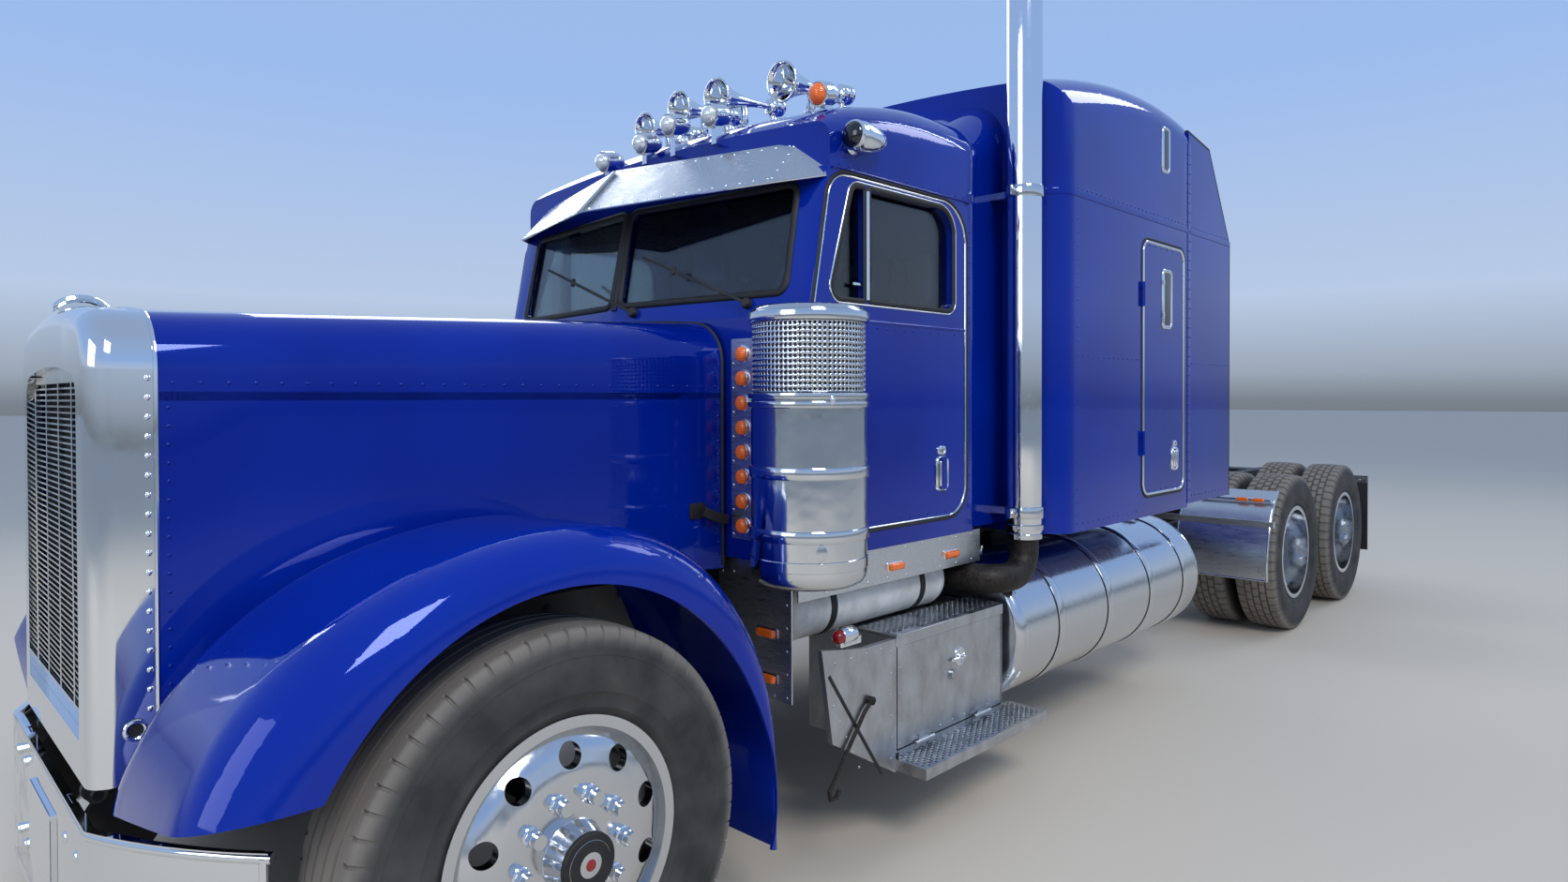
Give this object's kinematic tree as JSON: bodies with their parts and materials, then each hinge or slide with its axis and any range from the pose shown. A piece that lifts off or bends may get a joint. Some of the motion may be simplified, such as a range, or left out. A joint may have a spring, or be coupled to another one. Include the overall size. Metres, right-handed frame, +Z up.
{
  "type": "semi truck tractor",
  "caption": "Long-nosed semi truck tractor with sleeper cab, a tall exhaust stack and twin drive axles.",
  "frame": {"origin": "centre of the footprint box on the ground, under the middle of the truck", "axes": "+Z up, -Y towards the truck's front, +X towards the truck's left side"},
  "size_m": [2.664, 8.89, 3.9497],
  "materials": {
    "cobalt_paint": "gloss",
    "chrome_plate": "polished",
    "stainless_sheet": "polished",
    "polished_aluminium": "polished",
    "frame_black": "satin",
    "tyre_rubber": "matte",
    "window_glass": "clear",
    "amber_lens": "gloss",
    "cab_trim": "matte",
    "seat_cloth": "matte",
    "tank_white": "gloss",
    "cast_iron": "rough",
    "flap_rubber": "matte"
  },
  "bodies": {
    "chassis": {"chassis_frame": "frame_black", "front_bumper": "chrome_plate", "front_axle": "frame_black", "drive_axles": "frame_black", "engine_block": "cast_iron", "cab_shell": "cobalt_paint", "cab_roof": "cobalt_paint", "windshield": "window_glass", "dashboard": "cab_trim", "seats": "seat_cloth", "sleeper_shell": "cobalt_paint", "sleeper_roof": "cobalt_paint", "side_extenders": "cobalt_paint", "sun_visor": "stainless_sheet", "air_cleaners": "stainless_sheet", "stainless_panels": "stainless_sheet", "marker_lamps": "amber_lens", "air_horns": "chrome_plate", "roof_lamps": "chrome_plate", "exhaust_stack": "chrome_plate", "spot_lamps": "chrome_plate", "fuel_tanks": "polished_aluminium", "step_boxes": "polished_aluminium", "air_reservoirs": "tank_white", "quarter_fenders": "stainless_sheet", "mud_flaps": "flap_rubber", "fifth_wheel_base": "frame_black"},
    "hood": {"hood": "cobalt_paint", "grille_shell": "chrome_plate", "grille_bars": "stainless_sheet", "fenders": "cobalt_paint"},
    "steer_left": {"steer_left": "cast_iron"},
    "steer_right": {"steer_right": "cast_iron"},
    "tie_rod": {"tie_rod": "frame_black"},
    "front_wheel_left": {"front_tyre_left": "tyre_rubber", "front_rim_left": "polished_aluminium"},
    "front_wheel_right": {"front_tyre_right": "tyre_rubber", "front_rim_right": "polished_aluminium"},
    "cab_door_left": {"cab_door_left": "cobalt_paint", "door_glass_left": "window_glass"},
    "cab_door_right": {"cab_door_right": "cobalt_paint", "door_glass_right": "window_glass", "mirror_right": "chrome_plate"},
    "sleeper_door_left": {"sleeper_door_left": "cobalt_paint"},
    "sleeper_door_right": {"sleeper_door_right": "cobalt_paint"},
    "toolbox_door_left": {"toolbox_door_left": "polished_aluminium"},
    "toolbox_door_right": {"toolbox_door_right": "polished_aluminium"},
    "fifth_wheel": {"fifth_wheel": "cast_iron"},
    "steering_wheel": {"steering_wheel": "cab_trim"},
    "drive_wheel_front_left": {"drive_tyres_front_left": "tyre_rubber", "drive_rims_front_left": "polished_aluminium"},
    "drive_wheel_front_right": {"drive_tyres_front_right": "tyre_rubber", "drive_rims_front_right": "polished_aluminium"},
    "drive_wheel_rear_left": {"drive_tyres_rear_left": "tyre_rubber", "drive_rims_rear_left": "polished_aluminium"},
    "drive_wheel_rear_right": {"drive_tyres_rear_right": "tyre_rubber", "drive_rims_rear_right": "polished_aluminium"}
  },
  "joints": [
    {"name": "hood_hinge", "type": "hinge", "parent": "chassis", "child": "hood", "pos_m": [0, -4.38, 0.7], "axis": [1, 0, 0], "range_deg": [0, 60]},
    {"name": "steering_left", "type": "hinge", "parent": "chassis", "child": "steer_left", "pos_m": [0.905, -3.58, 0.547], "axis": [0, 0, 1], "range_deg": [-35, 35]},
    {"name": "steering_right", "type": "hinge", "parent": "chassis", "child": "steer_right", "pos_m": [-0.905, -3.58, 0.547], "axis": [0, 0, 1], "range_deg": [-35, 35]},
    {"name": "tie_rod_end", "type": "hinge", "parent": "steer_left", "child": "tie_rod", "pos_m": [0.905, -3.35, 0.387], "axis": [0, 0, 1], "range_deg": [-35, 35]},
    {"name": "steering_wheel_turn", "type": "hinge", "parent": "chassis", "child": "steering_wheel", "pos_m": [0.48, -2.02, 1.8], "axis": [0, 0.769, 0.6392], "range_deg": [-525, 525]},
    {"name": "fifth_wheel_tilt", "type": "hinge", "parent": "chassis", "child": "fifth_wheel", "pos_m": [0, 2.925, 1.075], "axis": [1, 0, 0], "range_deg": [-10, 10]},
    {"name": "front_wheel_left_spin", "type": "hinge", "parent": "steer_left", "child": "front_wheel_left", "pos_m": [1.058, -3.58, 0.547], "axis": [1, 0, 0], "continuous": true},
    {"name": "drive_wheel_front_left_spin", "type": "hinge", "parent": "chassis", "child": "drive_wheel_front_left", "pos_m": [0.885, 2.415, 0.547], "axis": [1, 0, 0], "continuous": true},
    {"name": "drive_wheel_rear_left_spin", "type": "hinge", "parent": "chassis", "child": "drive_wheel_rear_left", "pos_m": [0.885, 3.735, 0.547], "axis": [1, 0, 0], "continuous": true},
    {"name": "cab_door_left_hinge", "type": "hinge", "parent": "chassis", "child": "cab_door_left", "pos_m": [0.9945, -2.498, 1.555], "axis": [0, 0, -1], "range_deg": [0, 60]},
    {"name": "sleeper_door_left_hinge", "type": "hinge", "parent": "chassis", "child": "sleeper_door_left", "pos_m": [1.2095, -0.298, 1.79], "axis": [0, 0, -1], "range_deg": [0, 90]},
    {"name": "toolbox_door_left_hinge", "type": "hinge", "parent": "chassis", "child": "toolbox_door_left", "pos_m": [1.0595, -1.737, 0.35], "axis": [0, 1, 0], "range_deg": [0, 85]},
    {"name": "front_wheel_right_spin", "type": "hinge", "parent": "steer_right", "child": "front_wheel_right", "pos_m": [-1.058, -3.58, 0.547], "axis": [1, 0, 0], "continuous": true},
    {"name": "drive_wheel_front_right_spin", "type": "hinge", "parent": "chassis", "child": "drive_wheel_front_right", "pos_m": [-0.885, 2.415, 0.547], "axis": [1, 0, 0], "continuous": true},
    {"name": "drive_wheel_rear_right_spin", "type": "hinge", "parent": "chassis", "child": "drive_wheel_rear_right", "pos_m": [-0.885, 3.735, 0.547], "axis": [1, 0, 0], "continuous": true},
    {"name": "cab_door_right_hinge", "type": "hinge", "parent": "chassis", "child": "cab_door_right", "pos_m": [-0.9945, -2.498, 1.555], "axis": [0, 0, 1], "range_deg": [0, 60]},
    {"name": "sleeper_door_right_hinge", "type": "hinge", "parent": "chassis", "child": "sleeper_door_right", "pos_m": [-1.2095, -0.298, 1.79], "axis": [0, 0, 1], "range_deg": [0, 90]},
    {"name": "toolbox_door_right_hinge", "type": "hinge", "parent": "chassis", "child": "toolbox_door_right", "pos_m": [-1.0595, -1.737, 0.35], "axis": [0, -1, 0], "range_deg": [0, 85]}
  ],
  "couplings": [
    {"joint": "steering_right", "follows": "steering_left", "ratio": 1},
    {"joint": "tie_rod_end", "follows": "steering_left", "ratio": -1},
    {"joint": "steering_wheel_turn", "follows": "steering_left", "ratio": 15}
  ]
}
